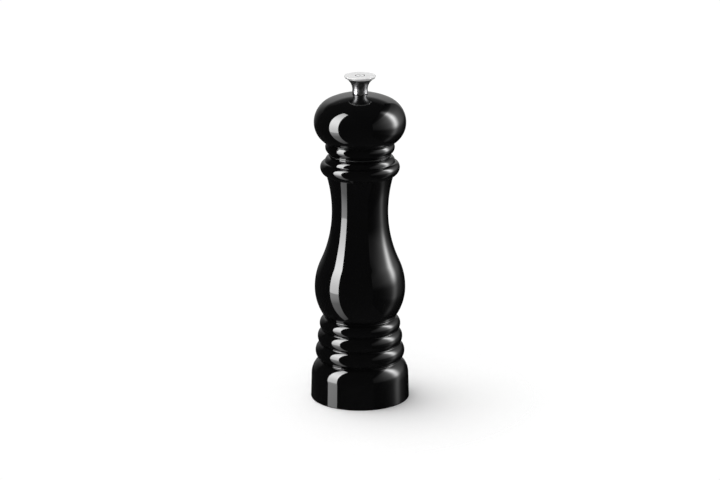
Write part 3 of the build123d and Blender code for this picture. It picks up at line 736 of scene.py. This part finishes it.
def make_nut():
    """Thumb nut with a polished neck, a satin top whose light grey is partly painted reflection, and a
    dark engraved mark.
    """
    piece = turned("thumb_nut", nut_outline(), NUT_STEPS)
    dress(piece, *NUT_FINISHES)
    top, mark = NUT_FINISHES.index("knob_top"), NUT_FINISHES.index("mark")
    for face in piece.data.polygons:
        reach = math.hypot(face.center.x, face.center.y)
        if face.center.z > MARK_FLOOR - TOLERANCE and reach < MARK_OUTER + TOLERANCE:
            face.material_index = mark if face.center.z < ENGRAVED_BELOW else top
        # The rim band and the top take the light grey top finish, partly painted reflection
        elif face.center.z > NUT_RIM_FOOT:
            face.material_index = top
    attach(piece, "knob")
    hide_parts("knob")


# --- The grinder's spring -----------------------------------------------------------------
def make_spring():
    """Spring between the bridge and the grinding cone, remade from the imported spring with smooth faces
    and crisp edges.
    """
    wire = bmesh.new()
    wire.from_mesh(frame["nodes"]["spring"].data)
    piece = finish_mesh("grinder_spring", wire)
    dress(piece, "spring_steel")
    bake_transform(piece)
    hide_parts("spring")


# --- Finishes of the pieces kept as they were designed ------------------------------------
REMADE = {"body_shell", "head_shell", "knob", "spring"}


def dress_nodes():
    for entry in frame["record"]["subparts"]:
        node = entry["node"]
        if node not in REMADE:
            dress(frame["nodes"][node], entry["material_slot"])


# --- Camera -------------------------------------------------------------------------------
LOOK_AT = Vector((0, 0, 0.1033))
CAMERA_DISTANCE = 1.9675
CAMERA_ELEVATION = math.radians(16.235)
LENS = 155.72
SENSOR = 36.0


def make_camera():
    data = bpy.data.cameras.new("camera")
    data.lens = LENS
    data.sensor_width = SENSOR
    camera = bpy.data.objects.new("camera", data)
    camera.location = LOOK_AT + CAMERA_DISTANCE * Vector(
        (0, -math.cos(CAMERA_ELEVATION), math.sin(CAMERA_ELEVATION))
    )
    camera.rotation_euler = (math.pi / 2 - CAMERA_ELEVATION, 0, 0)
    bpy.context.scene.collection.objects.link(camera)
    bpy.context.scene.camera = camera


# --- Studio lights ------------------------------------------------------------------------
# Brightness of each screen by height in metres above the table, from its foot to its top.
STRIP_LEVELS = (
    (-1.6, 0.7),
    (-1.27, 0.95),
    (-0.84, 1.4),
    (-0.36, 2.0),
    (-0.19, 3.9),
    (-0.092, 4.6),
    (-0.088, 9.6),
    (0.1, 11.6),
    (0.39, 16.0),
    (0.56, 16.8),
    (0.76, 15.0),
    (1.04, 12.5),
    (1.47, 10.0),
    (1.7, 8.0),
)
DIFFUSER_LEVELS = (
    (-0.8, 0.05),
    (-0.5, 0.35),
    (-0.32, 0.3),
    (-0.25, 0.5),
    (-0.19, 1.05),
    (-0.1, 1.1),
    (0.0, 1.3),
    (0.04, 2.4),
    (0.09, 5.3),
    (0.16, 10.0),
    (0.26, 12.5),
    (0.42, 16.0),
    (0.53, 17.0),
    (0.62, 15.0),
    (0.74, 12.7),
    (0.82, 11.7),
    (0.88, 5.0),
    (0.95, 2.4),
    (1.05, 1.3),
    (1.25, 0.1),
)
BACKDROP_LEVELS = (
    (-0.2, 0.1),
    (0.0, 0.3),
    (0.19, 0.42),
    (0.42, 0.54),
    (0.66, 0.76),
    (0.86, 0.92),
    (0.94, 0.6),
    (1.08, 0.2),
    (1.5, 0.06),
)
STRIP_HALF_WIDTH = 0.18
DIFFUSER_FALL = 0.25           # metres from the middle in which its spread fades to a third
LOW_WASH_LEVEL = 0.42


def bell(tree, value, middle, spread):
    """Bell curve of a value."""
    off = math_node(tree, "DIVIDE", math_node(tree, "SUBTRACT", value, middle), spread)
    square = math_node(tree, "MULTIPLY", off, off)
    return math_node(tree, "POWER", math.e, math_node(tree, "MULTIPLY", square, -0.5))


def profile(tree, value, stops):
    """Smooth curve through stops of (value, level)."""
    low, high = stops[0][0], stops[-1][0]
    peak = max(level for _, level in stops)
    ramp = tree.nodes.new("ShaderNodeValToRGB")
    elements = ramp.color_ramp.elements
    while len(elements) < len(stops):
        elements.new(0.5)
    for element, (place, level) in zip(elements, stops):
        element.position = (place - low) / (high - low)
        element.color = (level / peak, level / peak, level / peak, 1.0)
    tree.links.new(range_node(tree, value, span=(low, high), result=(0.0, 1.0)), ramp.inputs["Fac"])
    return math_node(tree, "MULTIPLY", ramp.outputs["Color"], peak)


def strip_glow(tree, across, up):
    """Tall strip light, brightest above the mill and dim below the table's edge."""
    tall = profile(tree, up, STRIP_LEVELS)
    half_width = (-STRIP_HALF_WIDTH, STRIP_HALF_WIDTH)
    side = range_node(tree, across, span=half_width, result=(0.97, 1.03))
    return math_node(tree, "MULTIPLY", tall, side)


def diffuser_glow(tree, across, up):
    """Wide diffuser with one soft hot spot, a faint spread to its edges and a wash low down."""
    tall = profile(tree, up, DIFFUSER_LEVELS)
    away = math_node(tree, "ABSOLUTE", across)
    fall = math_node(tree, "POWER", math.e, math_node(tree, "DIVIDE", away, -DIFFUSER_FALL))
    level = raised(tree, bell(tree, across, middle=0.0, spread=0.08), share=0.6, base=0.008)
    spread = range_node(tree, across, span=(0.0, 0.2), result=(0.24, 0.15))
    level = raised(tree, fall, share=spread, base=level)
    wash_across = bell(tree, across, middle=0.03, spread=0.22)
    wash_up = bell(tree, up, middle=0.14, spread=0.18)
    low_wash = math_node(tree, "MULTIPLY", wash_across, wash_up)
    low_wash = math_node(tree, "MULTIPLY", low_wash, LOW_WASH_LEVEL)
    return raised(tree, level, share=tall, base=low_wash)


def backdrop_glow(tree, across, up):
    """Soft light on the wall behind."""
    tall = profile(tree, up, BACKDROP_LEVELS)
    level = raised(tree, bell(tree, across, middle=0.0, spread=0.55), share=0.9, base=0.1)
    return math_node(tree, "MULTIPLY", level, tall)


def screen(name, azimuth, distance, half_width, stops, glow):
    """Upright glowing screen that faces the mill, seen only in reflections.

    It stands from the first of its stops to the last. Its brightness comes from
    glow(tree, across, up): sockets in metres from its middle line and above the table.
    """
    low, high = stops[0][0], stops[-1][0]
    bm = bmesh.new()
    bmesh.ops.create_grid(bm, x_segments=1, y_segments=1, size=0.5)
    bmesh.ops.scale(bm, vec=(2 * half_width, high - low, 1), verts=bm.verts)
    bmesh.ops.translate(bm, vec=(0, (high + low) / 2, 0), verts=bm.verts)
    panel = add_object(name, bm)
    angle = math.radians(azimuth)
    panel.location = (distance * math.sin(angle), -distance * math.cos(angle), 0)
    panel.rotation_euler = (math.pi / 2, 0, angle)
    material = bpy.data.materials.new(name)
    material.use_nodes = True
    tree = material.node_tree
    tree.nodes.clear()
    output = tree.nodes.new("ShaderNodeOutputMaterial")
    light = tree.nodes.new("ShaderNodeEmission")
    axes = split_xyz(tree, object_coords(tree))
    tree.links.new(glow(tree, axes["X"], axes["Y"]), light.inputs["Strength"])
    tree.links.new(light.outputs[0], output.inputs["Surface"])
    material.cycles.emission_sampling = "FRONT_BACK"
    panel.data.materials.append(material)
    panel.visible_camera = False
    panel.visible_diffuse = False
    panel.visible_shadow = False
    panel.visible_transmission = False


def area(name, place, target, side, power):
    """Soft square lamp that reflections don't show."""
    data = bpy.data.lights.new(name, "AREA")
    data.shape = "SQUARE"
    data.size = side
    data.energy = power
    lamp = bpy.data.objects.new(name, data)
    lamp.location = place
    lamp.rotation_euler = (Vector(target) - Vector(place)).to_track_quat("-Z", "Y").to_euler()
    lamp.visible_glossy = False
    bpy.context.scene.collection.objects.link(lamp)


# --- Table and surroundings ---------------------------------------------------------------
TABLE_RADIUS = 0.6
TABLE_FADE = (0.035, 0.14)     # the table turns into the white surroundings between these radii
REFLECTED_LEVEL = 0.02
AMBIENT_LEVEL = 0.45


def make_floor():
    """White table that fades into the white surroundings, and isn't there from below."""
    bm = bmesh.new()
    bmesh.ops.create_circle(bm, cap_ends=True, segments=96, radius=TABLE_RADIUS)
    floor = add_object("floor", bm)
    material, tree, shader = start_material(
        "pale_table", Base_Color=(0.9, 0.9, 0.9, 1.0), Roughness=0.9, Specular_IOR_Level=0.0
    )
    length = tree.nodes.new("ShaderNodeVectorMath")
    length.operation = "LENGTH"
    tree.links.new(object_coords(tree), length.inputs[0])
    fade = range_node(tree, length.outputs["Value"], span=TABLE_FADE, result=(0.0, 1.0))
    below = tree.nodes.new("ShaderNodeNewGeometry").outputs["Backfacing"]
    see_through = tree.nodes.new("ShaderNodeBsdfTransparent")
    mix = tree.nodes.new("ShaderNodeMixShader")
    tree.links.new(math_node(tree, "MAXIMUM", fade, below), mix.inputs["Fac"])
    tree.links.new(shader.outputs[0], mix.inputs[1])
    tree.links.new(see_through.outputs[0], mix.inputs[2])
    tree.links.new(mix.outputs[0], tree.nodes["Material Output"].inputs["Surface"])
    floor.data.materials.append(material)
    floor.visible_glossy = False
    floor.visible_shadow = False


def make_world():
    """White to the eye, near black in reflections and a soft fill elsewhere."""
    world = bpy.data.worlds.new("studio")
    bpy.context.scene.world = world
    world.use_nodes = True
    tree = world.node_tree
    background = tree.nodes["Background"]
    rays = tree.nodes.new("ShaderNodeLightPath")
    level = math_node(tree, "ADD", rays.outputs["Is Camera Ray"], REFLECTED_LEVEL)
    level = raised(tree, rays.outputs["Is Diffuse Ray"], share=AMBIENT_LEVEL, base=level)
    tree.links.new(level, background.inputs["Strength"])
    background.inputs["Color"].default_value = (1, 1, 1, 1)


def make_studio():
    make_camera()
    make_world()
    make_floor()
    screen(
        "strip_light",
        azimuth=-67.5,
        distance=0.79,
        half_width=STRIP_HALF_WIDTH,
        stops=STRIP_LEVELS,
        glow=strip_glow,
    )
    screen(
        "side_diffuser",
        azimuth=97.5,
        distance=0.7,
        half_width=1.54,
        stops=DIFFUSER_LEVELS,
        glow=diffuser_glow,
    )
    screen(
        "lit_backdrop",
        azimuth=180.0,
        distance=1.3,
        half_width=1.6,
        stops=BACKDROP_LEVELS,
        glow=backdrop_glow,
    )
    area("key_panel", place=(-1.0, 0.55, 2.3), target=(0, 0, 0), side=2.8, power=60.0)
    area("front_fill", place=(-0.1, -2.5, 1.4), target=(0, 0, 0.1), side=2.2, power=18.0)
    area("under_fill", place=(0.2, -0.3, -0.9), target=(0, 0, 0), side=0.6, power=9.0)
    bpy.context.scene.view_settings.view_transform = "Standard"


make_studio()
make_body()
make_head()
make_nut()
make_spring()
dress_nodes()
